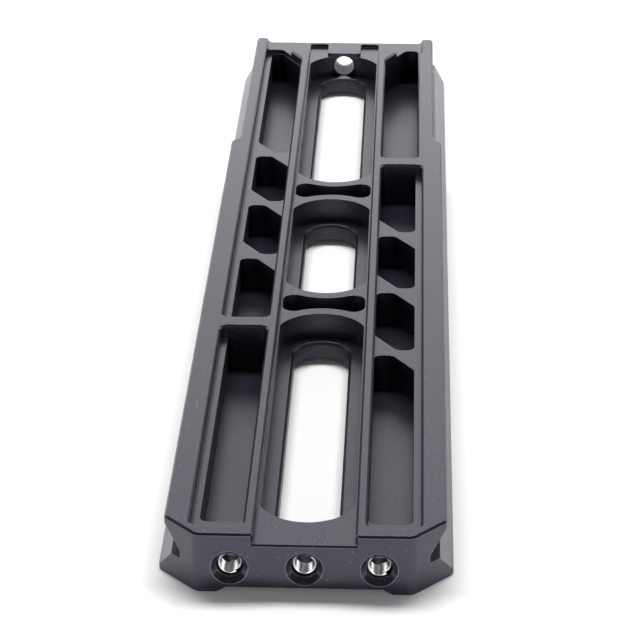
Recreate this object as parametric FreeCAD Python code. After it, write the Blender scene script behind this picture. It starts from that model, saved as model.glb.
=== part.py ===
"""Double-dovetail camera base plate, milled from one aluminium bar, with wire thread inserts in its near end.

Millimetres. +Z is up, with the pocketed side on top. +Y runs along the plate towards its far end.
The origin is the middle of the underside.
"""
import FreeCAD, Part
import math
import os

from FreeCAD import Vector

# Overall bar: the core is the narrowest width, inside both dovetails
plate_length = 380.0
core_half_width = 33.5
edge_chamfer = 0.6

# Side profile from the underside up: lower dovetail flange, groove, upper dovetail flange
lower_land_height = 1.6
lower_bevel_height = 5.8
groove_height = 2.5
upper_bevel_height = 6.0
upper_land_height = 2.2
lower_flange_reach = 6.5
groove_floor_reach = 2.7
upper_flange_reach = 4.5

# Relieved underside between two feet
relief_half_width = 21.0
relief_depth = 1.5
relief_slope_run = 2.6

# Plan outline: cut corners, and the upper flange milled back towards the far end
near_corner_cut = 9.0
near_corner_radius = 3.6
flange_corner_radius = 1.6
far_corner_cut = 5.0
far_corner_radius = 1.2
milled_back_length = 108.0
milled_back_reach = 1.7
runout_radius = 6.0

# Far end: a step across the top, between two horns that carry on the outer walls
step_length = 15.0
step_depth = 2.0
step_side_radius = 1.8

# Centre channel between the two inner rails
channel_half_width = 13.6
channel_depth = 3.2
channel_mouth_radius = 1.6
channel_mouth_chamfer = 0.5
channel_end_wall = 1.6
channel_corner_radius = 1.2
far_boss_wall = 2.6
far_boss_length = 12.0

# Counterbored slots along the channel, with the bow-tie pockets between them
counterbore_ledge = 0.5
counterbore_depth = 11.2
counterbore_arc_excess = 1.2
slot_half_width = 8.6
slot_arc_excess = 0.4
slot_chamfer = 0.8
slot_end_wall = 12.0
middle_counterbore_end = 37.2
arc_wall = 3.7
bow_waist = 7.4
bow_end_flat = 0.6

# Side columns: a shallow recess with deep pockets in it, between inner rail and outer wall
rail_width = 3.0
outer_wall = 2.5
recess_depth = 3.6
recess_corner_radius = 2.2
recess_end_wall = 5.0
pocket_ledge = 2.2
pocket_end_ledge = 0.8
plain_pocket_ledge = 1.5
pocket_floor = 3.6
pocket_corner_radius = 2.4
near_end_wall = 12.0
far_end_wall = 8.5
gusset_share = 0.65
gusset_length = 23.0
gusset_radius = 3.0
cross_web_start = 61.0
cross_web_width = 6.4

# Diagonal webs between the deep pockets, and the share of a pocket's width that ends square beside a web
web_pitch = 43.4
web_first = -9.5
web_count = 3
web_thickness = 3.0
web_angle = 55.0
pocket_tip_share = 0.45

# End holes, and wire thread inserts as long as their 6 mm thread is wide
hole_pitch = 20.0
hole_height = 7.6
hole_radius = 3.65
countersink = 1.4
far_hole_radius = 3.9
far_hole_height = 11.0
far_hole_chamfer = 0.8
insert_inner_radius = 2.46
insert_length = 6.0
insert_recess = 2.2
insert_clearance = 0.02

# How far cutters run past a face, how close two places count as one, and the share of a side for arcs
over = 1.0
touch = 0.001
arc_room = 0.96

# Places that follow from the sizes above
near_y = -plate_length / 2
far_y = plate_length / 2
groove_bottom = lower_land_height + lower_bevel_height
groove_top = groove_bottom + groove_height
top_z = groove_top + upper_bevel_height + upper_land_height
upper_half_width = core_half_width + upper_flange_reach
lower_half_width = core_half_width + lower_flange_reach
near_face_half_width = upper_half_width - near_corner_cut
far_half_width = core_half_width + milled_back_reach
far_boss_half_width = far_hole_radius + far_boss_wall
counterbore_half_width = channel_half_width - counterbore_ledge
counterbore_floor = top_z - counterbore_depth
counterbore_end_radius = counterbore_half_width + counterbore_arc_excess
outer_counterbore_start = middle_counterbore_end + 2 * arc_wall + bow_waist
outer_counterbore_end = far_y - slot_end_wall
slot_end_margin = counterbore_half_width - slot_half_width
recess_inner = channel_half_width + rail_width
recess_outer = core_half_width - outer_wall
pocket_outer = recess_outer - pocket_ledge
plain_pocket_outer = recess_outer - plain_pocket_ledge
gusset_outer = recess_inner + (pocket_outer - recess_inner) * gusset_share


def rounded_wire(corners, level):
    """Closed level outline through (x, y, radius) corners, each rounded by a tangent arc.

    Where a side is too short for the arcs at both its ends, both give way in proportion.
    """
    count = len(corners)
    points = [Vector(x, y, level) for x, y, radius in corners]
    sides = [points[(i + 1) % count] - points[i] for i in range(count)]
    half_turns = [(-sides[i - 1]).getAngle(sides[i]) / 2 for i in range(count)]
    wanted = [corners[i][2] / math.tan(half_turns[i]) for i in range(count)]
    taken = [max(wanted[i] + wanted[(i + 1) % count], touch) for i in range(count)]
    room = [min(1, sides[i].Length * arc_room / taken[i]) for i in range(count)]
    starts = []
    ends = []
    arcs = []
    for i in range(count):
        reach = wanted[i] * min(room[i - 1], room[i])
        back = (-sides[i - 1]).normalize()
        ahead = Vector(sides[i]).normalize()
        starts.append(points[i] + back * reach)
        ends.append(points[i] + ahead * reach)
        if reach < touch:
            arcs.append(None)
            continue
        radius = reach * math.tan(half_turns[i])
        inset = radius / math.sin(half_turns[i]) - radius
        middle = points[i] + (back + ahead).normalize() * inset
        arcs.append(Part.Arc(starts[i], middle, ends[i]).toShape())
    outline = []
    for i in range(count):
        if arcs[i] is not None:
            outline.append(arcs[i])
        following = starts[(i + 1) % count]
        outline.append(Part.LineSegment(ends[i], following).toShape())
    return Part.Wire(outline)


def prism(wire, height):
    """Solid of a level outline raised by a height."""
    return Part.Face(wire).extrude(Vector(0, 0, height))


def level_edges(shape, level, half_width):
    """Edges of a shape that lie at one level, no further than a half width from the middle."""
    return [e for e in shape.Edges
            if all(abs(v.Z - level) < touch and abs(v.X) < half_width + touch for v in e.Vertexes)]


def upright_edges(shape, half_width):
    """Upright edges of a shape that stand a half width from the middle, on either side."""
    return [e for e in shape.Edges
            if abs(abs(e.CenterOfMass.x) - half_width) < touch
            and abs(e.tangentAt(e.FirstParameter).z) > 1 - touch]


def mill(corners, floor):
    """Solid that a flat cutter clears above a floor level."""
    return prism(rounded_wire(corners, floor), top_z + over - floor)


def bar(half_profile):
    """Symmetric section, given by its right half from the bottom up as (x, z), run along the length."""
    right = [Vector(x, near_y, z) for x, z in half_profile]
    left = [Vector(-x, near_y, z) for x, z in reversed(half_profile)]
    outline = Part.makePolygon(right + left + right[:1])
    return Part.Face(outline).extrude(Vector(0, plate_length, 0))


def turned(shape):
    """Copy turned half a turn about the upright axis."""
    copy = shape.copy()
    copy.rotate(Vector(0, 0, 0), Vector(0, 0, 1), 180)
    return copy


def mirrored(shape):
    """Copy mirrored to the other side of the plate."""
    return shape.mirror(Vector(0, 0, 0), Vector(1, 0, 0))


def symmetric_outline(half):
    """Whole outline from its right-hand corners, listed from the near end to the far end."""
    return half + [(-x, y, radius) for x, y, radius in reversed(half)]


def upper_body():
    """Upper dovetail and core, with cut near corners and the flange milled back at the far end."""
    section = bar([
        (core_half_width, groove_bottom - over),
        (core_half_width, groove_top),
        (upper_half_width, groove_top + upper_bevel_height),
        (upper_half_width, top_z),
    ])
    flange_end = far_y - milled_back_length
    outline = symmetric_outline([
        (near_face_half_width, near_y, near_corner_radius),
        (upper_half_width, near_y + near_corner_cut, flange_corner_radius),
        (upper_half_width, flange_end, far_corner_radius),
        (far_half_width, flange_end + upper_half_width - far_half_width, runout_radius),
        (far_half_width, far_y, far_corner_radius),
    ])
    return section.common(prism(rounded_wire(outline, 0), top_z))


def lower_body():
    """Lower dovetail with its relieved underside and cut corners."""
    section = bar([
        (relief_half_width, relief_depth),
        (relief_half_width + relief_slope_run, 0),
        (lower_half_width - edge_chamfer, 0),
        (lower_half_width, edge_chamfer),
        (lower_half_width, lower_land_height),
        (core_half_width + groove_floor_reach, groove_bottom),
    ])
    outline = symmetric_outline([
        (near_face_half_width, near_y, near_corner_radius),
        (lower_half_width, near_y + lower_half_width - near_face_half_width, flange_corner_radius),
        (lower_half_width, far_y - far_corner_cut, far_corner_radius),
        (lower_half_width - far_corner_cut, far_y, far_corner_radius),
    ])
    return section.common(prism(rounded_wire(outline, 0), top_z))


def rectangle(half_width, start, end, level):
    """Closed level outline of a rectangle that is centred across the plate."""
    return Part.makePolygon([
        Vector(-half_width, start, level),
        Vector(half_width, start, level),
        Vector(half_width, end, level),
        Vector(-half_width, end, level),
        Vector(-half_width, start, level),
    ])


def far_step():
    """Step across the far end: rounded inner corners below the two horns, and broken top edges."""
    floor = top_z - step_depth
    start = far_y - step_length
    end = far_y + over
    block = prism(rectangle(recess_outer, start, end, floor), step_depth + over)
    sides = [e for e in level_edges(block, floor, recess_outer) if abs(e.CenterOfMass.x) > touch]
    block = block.makeFillet(min(step_side_radius, step_depth * arc_room), sides)
    flare = Part.makeLoft([
        rectangle(recess_outer, start, end, top_z - edge_chamfer),
        rectangle(recess_outer + edge_chamfer + over, start - edge_chamfer - over, end, top_z + over),
    ], True, True)
    return block.fuse(flare)


def channel():
    """Channel between the inner rails: open at the near end, closed round the boss at the far end."""
    end = far_y - channel_end_wall
    flare = channel_half_width + 2 * channel_mouth_radius
    outline = symmetric_outline([
        (flare, near_y - over, 0),
        (flare, near_y, 0),
        (channel_half_width, near_y, channel_mouth_radius),
        (channel_half_width, end, channel_corner_radius),
        (far_boss_half_width, end, channel_corner_radius),
        (far_boss_half_width, far_y - far_boss_length, channel_corner_radius),
    ])
    return mill(outline, top_z - channel_depth)


def arc_ended(half_width, excess, start, end, level):
    """Long closed outline with an arc across each end, a little flatter than a half circle."""
    radius = half_width + excess
    sagitta = radius - math.sqrt(radius ** 2 - half_width ** 2)
    near_right = Vector(half_width, start + sagitta, level)
    far_right = Vector(half_width, end - sagitta, level)
    near_left = Vector(-half_width, start + sagitta, level)
    far_left = Vector(-half_width, end - sagitta, level)
    return Part.Wire([
        Part.Arc(near_left, Vector(0, start, level), near_right).toShape(),
        Part.LineSegment(near_right, far_right).toShape(),
        Part.Arc(far_right, Vector(0, end, level), far_left).toShape(),
        Part.LineSegment(far_left, near_left).toShape(),
    ])


def counterbored_slot(start, end):
    """Camera screw slot: a wide counterbore, and a narrower slot with a broken mouth through its floor."""
    slot_start = start + slot_end_margin
    slot_end = end - slot_end_margin
    wide = arc_ended(counterbore_half_width, counterbore_arc_excess, start, end, counterbore_floor)
    bore = prism(wide, counterbore_depth + over)
    narrow = arc_ended(slot_half_width, slot_arc_excess, slot_start, slot_end, -over)
    slot = prism(narrow, counterbore_floor + over)
    mouth = arc_ended(slot_half_width + slot_chamfer, slot_arc_excess,
                      slot_start - slot_chamfer, slot_end + slot_chamfer, counterbore_floor)
    throat_level = counterbore_floor - slot_chamfer
    throat = arc_ended(slot_half_width, slot_arc_excess, slot_start, slot_end, throat_level)
    return bore.fuse([slot, Part.makeLoft([throat, mouth], True, True)])


def bow_tie():
    """Lightening pocket between two counterbores: its long sides keep an even wall to their arc ends."""
    half_width = counterbore_half_width
    radius = counterbore_end_radius + arc_wall
    height = top_z + over - pocket_floor
    middle = (outer_counterbore_start + middle_counterbore_end) / 2
    half_end = bow_waist / 2 + radius - math.sqrt(radius ** 2 - half_width ** 2)
    block = Part.makeBox(2 * half_width, 2 * (half_end + over), height,
                         Vector(-half_width, middle - half_end - over, pocket_floor))
    walls = [Part.makeCylinder(radius, height, Vector(0, y, pocket_floor))
             for y in (middle - bow_waist / 2 - radius, middle + bow_waist / 2 + radius)]
    shape = [s for s in block.cut(walls).Solids if abs(s.CenterOfMass.y - middle) < touch][0]
    corner_half_angle = math.acos(half_width / radius) / 2
    corner_radius = (half_end - bow_end_flat / 2) * math.tan(corner_half_angle)
    return shape.makeFillet(corner_radius, upright_edges(shape, half_width))


def web_line(x, index, side):
    """Place along Y of one flank of a diagonal web in the left column: side -1 is near, +1 is far."""
    column_centre = -(recess_inner + pocket_outer) / 2
    tilt = math.radians(web_angle)
    middle = web_first + index * web_pitch - (x - column_centre) * math.tan(tilt)
    return middle + side * web_thickness / math.cos(tilt) / 2


def diagonal_end(index, side):
    """Three corners of a pocket end that runs along a web, with the sharp tip cut square."""
    outer = -pocket_outer
    inner = -recess_inner
    tip, heel = (outer, inner) if side < 0 else (inner, outer)
    blunt = tip + (heel - tip) * pocket_tip_share
    level = web_line(blunt, index, side)
    return [
        (tip, level, pocket_corner_radius),
        (blunt, level, pocket_corner_radius),
        (heel, web_line(heel, index, side), pocket_corner_radius),
    ]


def square_end(y, side, outer, radius):
    """Two corners of a pocket or recess end that is square to the plate: side -1 is its far end."""
    ends = [(-outer, y, radius), (-recess_inner, y, radius)]
    return ends if side < 0 else ends[::-1]


def gusset_end(outer, ledge):
    """Far end of a left-hand pocket or recess, with a gusset slanting across its inner corner.

    The ledge is how far a deep pocket stays inside the recess that it lies in.
    """
    end = far_y - far_end_wall - ledge
    return [
        (-outer, end, pocket_corner_radius),
        (-gusset_outer, end, gusset_radius),
        (-recess_inner, far_y - gusset_length - ledge, gusset_radius),
    ]


def webbed_pockets(first, last):
    """Row of deep pockets in the left column, from the first end to the last, parted by the webs."""
    near_ends = [first] + [diagonal_end(i, +1) for i in range(web_count)]
    far_ends = [diagonal_end(i, -1) for i in range(web_count)] + [last]
    return [mill(near + far, pocket_floor) for near, far in zip(near_ends, far_ends)]


def recess(start, far_corners):
    """Shallow recess of the left column, from a square near end to the given far corners."""
    near = square_end(start, +1, recess_outer, recess_corner_radius)
    return mill(near + far_corners, top_z - recess_depth)


def plain_pocket(start, outer, far_corners):
    """Deep pocket of the left column without webs, from a square near end to the given far corners."""
    near = square_end(start, +1, outer, pocket_corner_radius)
    return mill(near + far_corners, pocket_floor)


def left_column():
    """Cutters of the left column: one plain pocket, the straight web, then the webbed row to the far end."""
    web_near = -(cross_web_start + cross_web_width)
    web_far = -cross_web_start
    first = square_end(web_far, +1, pocket_outer, pocket_corner_radius)
    last = gusset_end(pocket_outer, pocket_end_ledge)
    plain = plain_pocket(near_y + near_end_wall, pocket_outer,
                         square_end(web_near, -1, pocket_outer, pocket_corner_radius))
    shallow = [
        recess(near_y + recess_end_wall, square_end(web_near, -1, recess_outer, recess_corner_radius)),
        recess(web_far, gusset_end(recess_outer, 0)),
    ]
    return shallow + [plain] + webbed_pockets(first, last)


def right_column():
    """Cutters of the right column: the webbed row turned half round, and a plain pocket without a recess."""
    first = square_end(-cross_web_start, +1, pocket_outer, pocket_corner_radius)
    last = square_end(far_y - near_end_wall, -1, pocket_outer, pocket_corner_radius)
    shallow = recess(-cross_web_start,
                     square_end(far_y - recess_end_wall, -1, recess_outer, recess_corner_radius))
    plain = plain_pocket(cross_web_start + cross_web_width, plain_pocket_outer,
                         gusset_end(plain_pocket_outer, 0))
    return [turned(cut) for cut in [shallow] + webbed_pockets(first, last)] + [mirrored(plain)]


def bored(mouth, axis, radius, sink, depth):
    """Round hole from a mouth on an end face along an axis, with a countersink at the mouth."""
    bore = Part.makeCylinder(radius, depth + over, mouth - axis * over, axis)
    cone = Part.makeCone(radius + sink, radius, sink, mouth, axis)
    return bore.fuse(cone)


def insert_hole(x, wall):
    """Countersunk hole for a thread insert, through a wall behind the near end face."""
    mouth = Vector(x, near_y, hole_height)
    return bored(mouth, Vector(0, 1, 0), hole_radius, countersink, wall + pocket_corner_radius)


def end_holes():
    """Three insert holes in the near end, and the plain hole through the far boss."""
    near = [insert_hole(x, near_end_wall) for x in (-hole_pitch, hole_pitch)]
    centre = insert_hole(0, slot_end_wall + slot_end_margin)
    plain = bored(Vector(0, far_y, far_hole_height), Vector(0, -1, 0), far_hole_radius, far_hole_chamfer,
                  slot_end_wall + slot_end_margin)
    return near + [centre, plain]


def base_plate():
    """The whole milled plate, with its sharp top edges and slot mouths broken by small chamfers."""
    shelf = top_z - channel_depth
    blank = upper_body().fuse(lower_body()).removeSplitter()
    plate = blank.cut([channel()] + left_column() + right_column()).removeSplitter()
    plate = plate.makeChamfer(edge_chamfer, level_edges(plate, top_z, upper_half_width))
    mouth_half_width = channel_half_width + channel_mouth_radius
    mouth = [e for e in level_edges(plate, shelf, mouth_half_width) if e.CenterOfMass.y < near_y + touch]
    plate = plate.makeChamfer(channel_mouth_chamfer, mouth)
    slots = [
        counterbored_slot(-outer_counterbore_end, -outer_counterbore_start),
        counterbored_slot(-middle_counterbore_end, middle_counterbore_end),
        counterbored_slot(outer_counterbore_start, outer_counterbore_end),
    ]
    bow = bow_tie()
    plate = plate.cut(slots + [bow, turned(bow), far_step()])
    return plate.cut(end_holes()).removeSplitter()


def thread_insert(x):
    """Sleeve of the coiled wire insert in a near end hole, set back from the face."""
    base = Vector(x, near_y + insert_recess, hole_height)
    axis = Vector(0, 1, 0)
    outer = Part.makeCylinder(hole_radius - insert_clearance, insert_length, base, axis)
    inner = Part.makeCylinder(insert_inner_radius, insert_length, base, axis)
    return outer.cut(inner)


nodes = {
    "base_plate": base_plate(),
    "thread_insert_near_left": thread_insert(-hole_pitch),
    "thread_insert_near_centre": thread_insert(0),
    "thread_insert_near_right": thread_insert(hole_pitch),
}

os.makedirs("parts", exist_ok=True)
for name, shape in nodes.items():
    shape.exportStep(os.path.join("parts", name + ".step"))
    state = "valid" if shape.isValid() else "not valid"
    print(name, len(shape.Solids), "solid", round(shape.Volume, 1), "mm3", state)
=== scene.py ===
"""Looks of a camera base plate: black anodised aluminium with bright wire thread inserts, on a white table.

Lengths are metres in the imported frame: X across the bar, Y along it, Z up, with the table at Z = 0.
"""
import math

import bpy
import numpy as np
from mathutils import Matrix, Vector


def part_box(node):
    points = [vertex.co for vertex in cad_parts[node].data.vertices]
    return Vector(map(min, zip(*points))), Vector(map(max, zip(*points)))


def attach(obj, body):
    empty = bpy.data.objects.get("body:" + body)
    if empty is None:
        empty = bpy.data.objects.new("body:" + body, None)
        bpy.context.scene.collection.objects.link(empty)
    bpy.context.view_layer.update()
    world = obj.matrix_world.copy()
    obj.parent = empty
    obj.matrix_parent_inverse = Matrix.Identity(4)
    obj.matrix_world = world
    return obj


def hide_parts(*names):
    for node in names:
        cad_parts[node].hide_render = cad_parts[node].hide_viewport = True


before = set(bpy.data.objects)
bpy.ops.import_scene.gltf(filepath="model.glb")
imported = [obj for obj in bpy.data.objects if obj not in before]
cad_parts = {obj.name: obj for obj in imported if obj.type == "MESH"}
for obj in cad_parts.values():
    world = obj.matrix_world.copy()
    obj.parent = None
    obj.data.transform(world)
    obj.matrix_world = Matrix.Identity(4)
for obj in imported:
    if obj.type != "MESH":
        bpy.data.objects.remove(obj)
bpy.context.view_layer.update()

mm = 0.001

# Wire thread inserts for a 6 mm screw: turns 1 mm apart that nearly touch, and flanks that meet at 60 degrees
thread_pitch = 1.0 * mm
thread_minor_radius = 2.46 * mm
turn_gap = 0.12 * mm
inner_crest = 0.25 * mm
flank_slope = math.tan(math.radians(30))
half_waist = (thread_pitch - turn_gap) / 2
half_crest = inner_crest / 2
waist_radius = thread_minor_radius + (half_waist - half_crest) / flank_slope
section_points = 36
rounding_points = 5
steps_per_turn = 72
# Where the wire ends in each mouth, counted upwards from the right
wire_end_angles = {
    "thread_insert_near_left": math.radians(-54),
    "thread_insert_near_centre": math.radians(54),
    "thread_insert_near_right": math.radians(-49),
}
# Die lines along the wire are a few hundredths of a millimetre apart, and are drawn wider, to show at all
die_line_spacing = 0.12 * mm
die_line_length = 6 * mm
die_line_depth = 0.01 * mm
wire_roughness = {"To Min": 0.16, "To Max": 0.3}

# Bead marks on the plate are about 0.1 mm across, too fine to show here, so they are drawn wider
bead_mark = 0.4 * mm
bead_mark_depth = 0.02 * mm
# The dye takes a little unevenly, from patch to patch
dye_patch = 25 * mm
# Here and there a bead leaves a paler point, some 0.25 mm across and 5 mm from the next one
speck_cell = 1.9 * mm
speck_fade = {"From Min": 0.08, "From Max": 0.055}
# Blasting breaks the milled edges to this radius
edge_radius = 0.25 * mm

# Where each part of the plate starts and where it is full: three distances from its middle, then a height
between_outer_walls = {"From Min": 31.7 * mm, "From Max": 31.3 * mm}
between_end_faces = {"From Min": 187.6 * mm, "From Max": 187 * mm}
within_end_walls = {"From Min": 177 * mm, "From Max": 177.5 * mm}
deep_in_plate = {"From Min": 12 * mm, "From Max": 9 * mm}
# A face is upright where its normal is nearly level, and an edge where the rounding turns its normal
upright_face = {"From Min": 0.6, "From Max": 0.3}
# The edges found this way carry the painted highlight on the outer upright faces
turned_edge = {"From Min": 0.994, "From Max": 0.965}

# Roughness of the blasted faces, and what the cutter's marks add to it on deep floors and inner walls
blasted_roughness = {"To Min": 0.22, "To Max": 0.27}
floor_roughness = {"To Max": 0.06}
wall_roughness = {"To Max": 0.25}
# Sheen of the open faces and of deep floors, and what it loses in the tapped end holes
floor_sheen = {"To Min": 0.5, "To Max": 0.42}
tapped_sheen_loss = -0.37

# The camera, at the photograph's distance and angle, for a square picture
picture_side = 640
focal_pixels = 2456.4
sensor_width = 36.0
camera_place = (25.6 * mm, -743.8 * mm, 359.8 * mm)
camera_pitch = math.radians(-26.633)
camera_yaw = math.radians(-2.2)
camera_roll = math.radians(-0.1)

# The table, and the softboxes of the light tent round it: place, width and height in metres, and watts
table_half_side = 4.0
paper_glow = 0.02
tent_grey = "#48484a"
softboxes = {
    "overhead": ((0.0, 0.5, 1.65), (1.5, 0.45), 33.0),
    "back_low": ((0.0, 2.0, 0.42), (1.7, 0.7), 5.8),
    "back_high": ((0.0, 2.0, 1.2), (1.7, 0.9), 5.3),
    "left": ((-1.5, 1.0, 0.75), (1.6, 1.0), 7.0),
    "right": ((1.5, 1.0, 0.75), (1.6, 1.0), 7.0),
    "front_high": ((0.05, -1.59, 1.29), (0.45, 0.32), 1.0),
    "front_left": ((-1.05, -1.65, 0.34), (1.2, 0.5), 7.0),
    "front_right": ((1.05, -1.65, 0.34), (1.2, 0.5), 7.0),
}


def linear(hex_colour):
    """The sRGB hex colour as linear red, green and blue, with an alpha of 1."""
    srgb = np.array([int(hex_colour[i:i + 2], 16) for i in (1, 3, 5)]) / 255
    bright = ((srgb + 0.055) / 1.055) ** 2.4
    return (*np.where(srgb > 0.04045, bright, srgb / 12.92).tolist(), 1.0)


def add_node(tree, kind, values=None, links=None, **settings):
    """Adds a shader node with its settings, input values and links.

    An input goes by its name or number, and a node among the links stands for its first output.
    """
    node = tree.nodes.new("ShaderNode" + kind)
    for name, setting in settings.items():
        setattr(node, name, setting)
    sockets = [socket for socket in node.inputs if socket.enabled]
    inputs = {socket.name: socket for socket in reversed(sockets)} | dict(enumerate(sockets))
    for key, value in (values or {}).items():
        inputs[key].default_value = value
    for key, source in (links or {}).items():
        if isinstance(source, bpy.types.Node):
            source = next(socket for socket in source.outputs if socket.enabled)
        tree.links.new(source, inputs[key])
    return node


def new_material(name):
    """A material of that name with an empty node tree."""
    material = bpy.data.materials.new(name)
    material.use_nodes = True
    material.node_tree.nodes.clear()
    return material


def black_anodised_aluminium():
    """Milled aluminium, blasted with fine beads, then anodised and dyed black.

    The hard clear oxide over the dye gives a grey satin sheen wherever it mirrors something bright. The dye
    itself shows almost nothing, only a trace of violet, and the blasting leaves a fine even grain.
    """
    material = new_material("black_anodised_aluminium")
    tree = material.node_tree
    place = add_node(tree, "TexCoord").outputs["Object"]
    grain = add_node(tree, "TexNoise", {"Scale": 1 / bead_mark, "Detail": 3.0}, {"Vector": place})
    cloud = add_node(tree, "TexNoise", {"Scale": 1 / dye_patch, "Detail": 2.0}, {"Vector": place})
    dye = add_node(tree, "Mix", {"A": linear("#0e0e18"), "B": linear("#12121e")}, {"Factor": cloud},
                   data_type="RGBA")
    beads = add_node(tree, "TexVoronoi", {"Scale": 1 / speck_cell}, {"Vector": place})
    speck = add_node(tree, "MapRange", speck_fade, {"Value": beads})
    specked = add_node(tree, "Mix", {"B": linear("#9896aa")}, {"Factor": speck, "A": dye}, data_type="RGBA")
    # Inside the pockets, slots and holes the deep floors and the walls keep more of the cutter's marks
    from_middle = add_node(tree, "VectorMath", links={0: place}, operation="ABSOLUTE")
    axes = add_node(tree, "SeparateXYZ", links={"Vector": from_middle}).outputs
    across = add_node(tree, "MapRange", between_outer_walls, {"Value": axes["X"]})
    along = add_node(tree, "MapRange", between_end_faces, {"Value": axes["Y"]})
    inside = add_node(tree, "Math", links={0: across, 1: along}, operation="MULTIPLY")
    depth = add_node(tree, "MapRange", deep_in_plate, {"Value": axes["Z"]})
    deep = add_node(tree, "Math", links={0: inside, 1: depth}, operation="MULTIPLY")
    true_normal = add_node(tree, "NewGeometry").outputs["True Normal"]
    facing = add_node(tree, "SeparateXYZ", links={"Vector": true_normal}).outputs
    levelness = add_node(tree, "Math", links={0: facing["Z"]}, operation="ABSOLUTE")
    wall = add_node(tree, "MapRange", upright_face, {"Value": levelness})
    inner_wall = add_node(tree, "Math", links={0: inside, 1: wall}, operation="MULTIPLY")
    floor_marks = add_node(tree, "MapRange", floor_roughness, {"Value": deep})
    wall_marks = add_node(tree, "MapRange", wall_roughness, {"Value": inner_wall})
    marks = add_node(tree, "Math", links={0: floor_marks, 1: wall_marks}, operation="MAXIMUM")
    satin = add_node(tree, "MapRange", blasted_roughness, {"Value": cloud})
    roughness = add_node(tree, "Math", links={0: marks, 1: satin}, operation="ADD")
    # Those marks also scatter part of the sheen, and the threads tapped in the end holes nearly all of it
    marked_sheen = add_node(tree, "MapRange", floor_sheen, {"Value": deep})
    end_part = add_node(tree, "MapRange", within_end_walls, {"Value": axes["Y"]})
    tapped = add_node(tree, "Math", links={0: deep, 1: end_part}, operation="MULTIPLY")
    sheen = add_node(tree, "Math", {1: tapped_sheen_loss}, {0: tapped, 2: marked_sheen},
                     operation="MULTIPLY_ADD")
    # On the outer upright faces the broken edges get a painted highlight, a paler colour in place of light
    broken = add_node(tree, "Bevel", {"Radius": edge_radius}, samples=8)
    turned = add_node(tree, "VectorMath", links={0: broken, 1: true_normal}, operation="DOT_PRODUCT")
    edge = add_node(tree, "MapRange", turned_edge, {"Value": turned})
    outer_wall = add_node(tree, "Math", links={0: wall, 1: inner_wall}, operation="SUBTRACT")
    painted_edge_highlight = add_node(tree, "Math", links={0: edge, 1: outer_wall}, operation="MULTIPLY")
    # The pale colour mixed in here is the painted edge highlight
    colour = add_node(tree, "Mix", {"B": linear("#a5a2b6")}, {"Factor": painted_edge_highlight, "A": specked}, data_type="RGBA")
    relief = add_node(tree, "Bump", {"Strength": 0.15, "Distance": bead_mark_depth},
                      {"Height": grain, "Normal": broken})
    shader = add_node(tree, "BsdfPrincipled", {"IOR": 1.82, "Specular Tint": linear("#ebebff")},
                      {"Base Color": colour, "Roughness": roughness, "Specular IOR Level": sheen,
                       "Normal": relief})
    add_node(tree, "OutputMaterial", links={"Surface": shader})
    return material


def drawn_stainless_wire():
    """Stainless steel wire, drawn to a diamond section and coiled.

    The steel is bright, with fine lines from the die along its length.
    """
    material = new_material("drawn_stainless_wire")
    tree = material.node_tree
    along = add_node(tree, "UVMap", uv_map="wire")
    stretched = add_node(tree, "Mapping", {"Scale": (1 / die_line_length, 1 / die_line_spacing, 1.0)},
                         {"Vector": along})
    lines = add_node(tree, "TexNoise", {"Scale": 1.0, "Detail": 2.0}, {"Vector": stretched})
    colour = add_node(tree, "Mix", {"A": linear("#d0cfcf"), "B": linear("#eaeae9")}, {"Factor": lines},
                      data_type="RGBA")
    polish = add_node(tree, "MapRange", wire_roughness, {"Value": lines})
    relief = add_node(tree, "Bump", {"Strength": 0.2, "Distance": die_line_depth}, {"Height": lines})
    shader = add_node(tree, "BsdfPrincipled", {"Metallic": 1.0},
                      {"Base Color": colour, "Roughness": polish, "Normal": relief})
    add_node(tree, "OutputMaterial", links={"Surface": shader})
    return material


def white_paper():
    """Matt white paper, which glows a little to the camera and in reflections, for a clean white."""
    material = new_material("white_paper")
    tree = material.node_tree
    rays = add_node(tree, "LightPath").outputs
    mirrored = add_node(tree, "Math", links={0: rays["Is Glossy Ray"], 1: rays["Is Transmission Ray"]},
                        operation="MAXIMUM")
    seen = add_node(tree, "Math", links={0: rays["Is Camera Ray"], 1: mirrored}, operation="MAXIMUM")
    glow = add_node(tree, "Math", {1: paper_glow}, {0: seen}, operation="MULTIPLY")
    shader = add_node(tree, "BsdfPrincipled",
                      {"Base Color": linear("#fafafa"), "Roughness": 1.0, "Specular IOR Level": 0.0,
                       "Emission Color": linear("#ffffff")},
                      {"Emission Strength": glow})
    add_node(tree, "OutputMaterial", links={"Surface": shader})
    return material


def show(name, mesh, material):
    """Puts a mesh into the scene as an object at the origin, in one material."""
    mesh.materials.append(material)
    mesh.update()
    piece = bpy.data.objects.new(name, mesh)
    bpy.context.scene.collection.objects.link(piece)
    return piece


def table_top(material):
    """The table: x and y each run evenly from minus to plus the half side on a grid, and z is 0."""
    x, y = np.meshgrid((-table_half_side, table_half_side), (-table_half_side, table_half_side))
    points = np.stack([x, y, np.zeros_like(x)], axis=-1).reshape(-1, 3)
    mesh = bpy.data.meshes.new("table_top")
    mesh.from_pydata(points.tolist(), [], [(0, 1, 3, 2)])
    return show("table_top", mesh, material)


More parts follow.
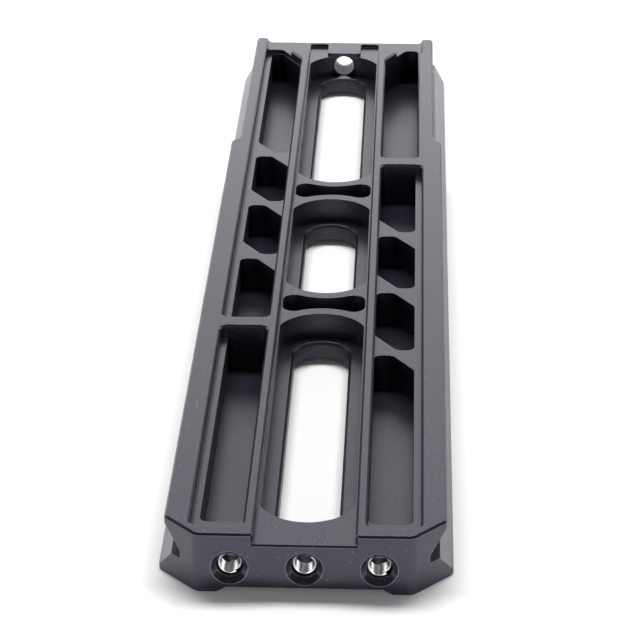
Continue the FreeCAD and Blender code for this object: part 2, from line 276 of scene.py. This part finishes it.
def wire_section(hole_radius):
    """The section of the wire: places along the hole, radii from its axis, and the whole length round.

    It runs straight between six corners: the crest towards the screw, the two flanks that widen by their
    slope to the waist of the wire, and the two that narrow again to the crest in the hole. Each point is
    then the mean of itself and its neighbours along the section, which rounds the corners.
    """
    hole_crest = half_waist - (hole_radius - waist_radius) * flank_slope
    corner_across = np.array([-half_crest, half_crest, half_waist, hole_crest,
                              -hole_crest, -half_waist, -half_crest])
    corner_radius = np.array([thread_minor_radius, thread_minor_radius, waist_radius, hole_radius,
                              hole_radius, waist_radius, thread_minor_radius])
    side_lengths = np.hypot(np.diff(corner_across), np.diff(corner_radius))
    corner_reach = np.concatenate([[0.0], np.cumsum(side_lengths)])
    section_length = corner_reach[-1]
    s = np.linspace(0, section_length, section_points, endpoint=False)
    neighbours = np.arange(section_points)[:, None] + np.arange(rounding_points) - rounding_points // 2
    across = np.interp(s, corner_reach, corner_across)[neighbours % section_points].mean(axis=1)
    radius = np.interp(s, corner_reach, corner_radius)[neighbours % section_points].mean(axis=1)
    return across, radius, section_length


def wire_insert(node_name, material):
    """A thread insert: the wire's section carried along a right-hand helix, in place of its plain sleeve.

    Turn t of the helix lies the pitch times t deeper, and t whole turns further round, than the wire's end
    at the mouth.
    """
    low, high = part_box(node_name)
    axis = (low + high) / 2
    across, radius, section_length = wire_section((high.x - low.x) / 2)
    turns = (high.y - low.y - 2 * half_waist) / thread_pitch
    t = np.linspace(0, turns, round(turns * steps_per_turn) + 1)[:, None]
    angle = wire_end_angles[node_name] - 2 * math.pi * t
    x = axis.x + radius * np.cos(angle)
    y = low.y + half_waist + across + thread_pitch * t
    z = axis.z + radius * np.sin(angle)
    points = np.stack(np.broadcast_arrays(x, y, z), axis=-1)

    # Quads between neighbouring points, closed round the section, and a flat cap on each end of the wire
    rows, columns = points.shape[:2]
    row, column = np.meshgrid(np.arange(rows - 1), np.arange(columns), indexing="ij")
    corner_row = np.stack([row, row, row + 1, row + 1], axis=-1).reshape(-1, 4)
    corner_column = np.stack([column, column + 1, column + 1, column], axis=-1).reshape(-1, 4)
    quads = corner_row * columns + corner_column % columns
    ends = [list(range(columns - 1, -1, -1)), list(range((rows - 1) * columns, rows * columns))]
    mesh = bpy.data.meshes.new(node_name + "_wire")
    mesh.from_pydata(points.reshape(-1, 3).tolist(), [], quads.tolist() + ends)
    mesh.shade_smooth()
    # The wire's own map: along the wire, and round its section, both in metres
    turn_length = 2 * math.pi * waist_radius
    along = corner_row * turn_length / steps_per_turn
    round_section = corner_column * section_length / columns
    wire_map = np.zeros((len(mesh.loops), 2), np.float32)
    wire_map[:quads.size] = np.stack([along, round_section], axis=-1).reshape(-1, 2)
    mesh.uv_layers.new(name="wire").data.foreach_set("uv", wire_map.ravel())

    piece = show(node_name + "_wire", mesh, material)
    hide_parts(node_name)
    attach(piece, "root")


def softbox(name, place, size, watts):
    """A rectangular lamp that faces the middle of the plate."""
    lamp = bpy.data.lights.new(name, "AREA")
    lamp.shape = "RECTANGLE"
    lamp.size, lamp.size_y = size
    lamp.energy = watts
    holder = bpy.data.objects.new(name, lamp)
    holder.location = place
    holder.rotation_euler = (-Vector(place)).to_track_quat("-Z", "Y").to_euler()
    bpy.context.scene.collection.objects.link(holder)


def photo_camera():
    """The camera: level and looking along the bar, then tilted down, turned aside and rolled."""
    camera = bpy.data.cameras.new("photo_camera")
    camera.sensor_width = sensor_width
    camera.lens = focal_pixels / picture_side * sensor_width
    holder = bpy.data.objects.new("photo_camera", camera)
    aside = Matrix.Rotation(-camera_yaw, 4, "Z")
    tilt = Matrix.Rotation(math.pi / 2 + camera_pitch, 4, "X")
    roll = Matrix.Rotation(camera_roll, 4, "Z")
    holder.matrix_world = Matrix.Translation(camera_place) @ aside @ tilt @ roll
    bpy.context.scene.collection.objects.link(holder)
    bpy.context.scene.camera = holder


anodised = black_anodised_aluminium()
steel = drawn_stainless_wire()
for node_name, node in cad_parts.items():
    is_insert = node_name.startswith("thread_insert")
    node.data.materials.clear()
    node.data.materials.append(steel if is_insert else anodised)
    if is_insert:
        wire_insert(node_name, steel)

table_top(white_paper())
for side, (place, size, watts) in softboxes.items():
    softbox(side + "_softbox", place, size, watts)
world = bpy.data.worlds.new("studio")
world.use_nodes = True
world.node_tree.nodes["Background"].inputs["Color"].default_value = linear(tent_grey)
bpy.context.scene.world = world
photo_camera()
bpy.context.scene.view_settings.view_transform = "Standard"
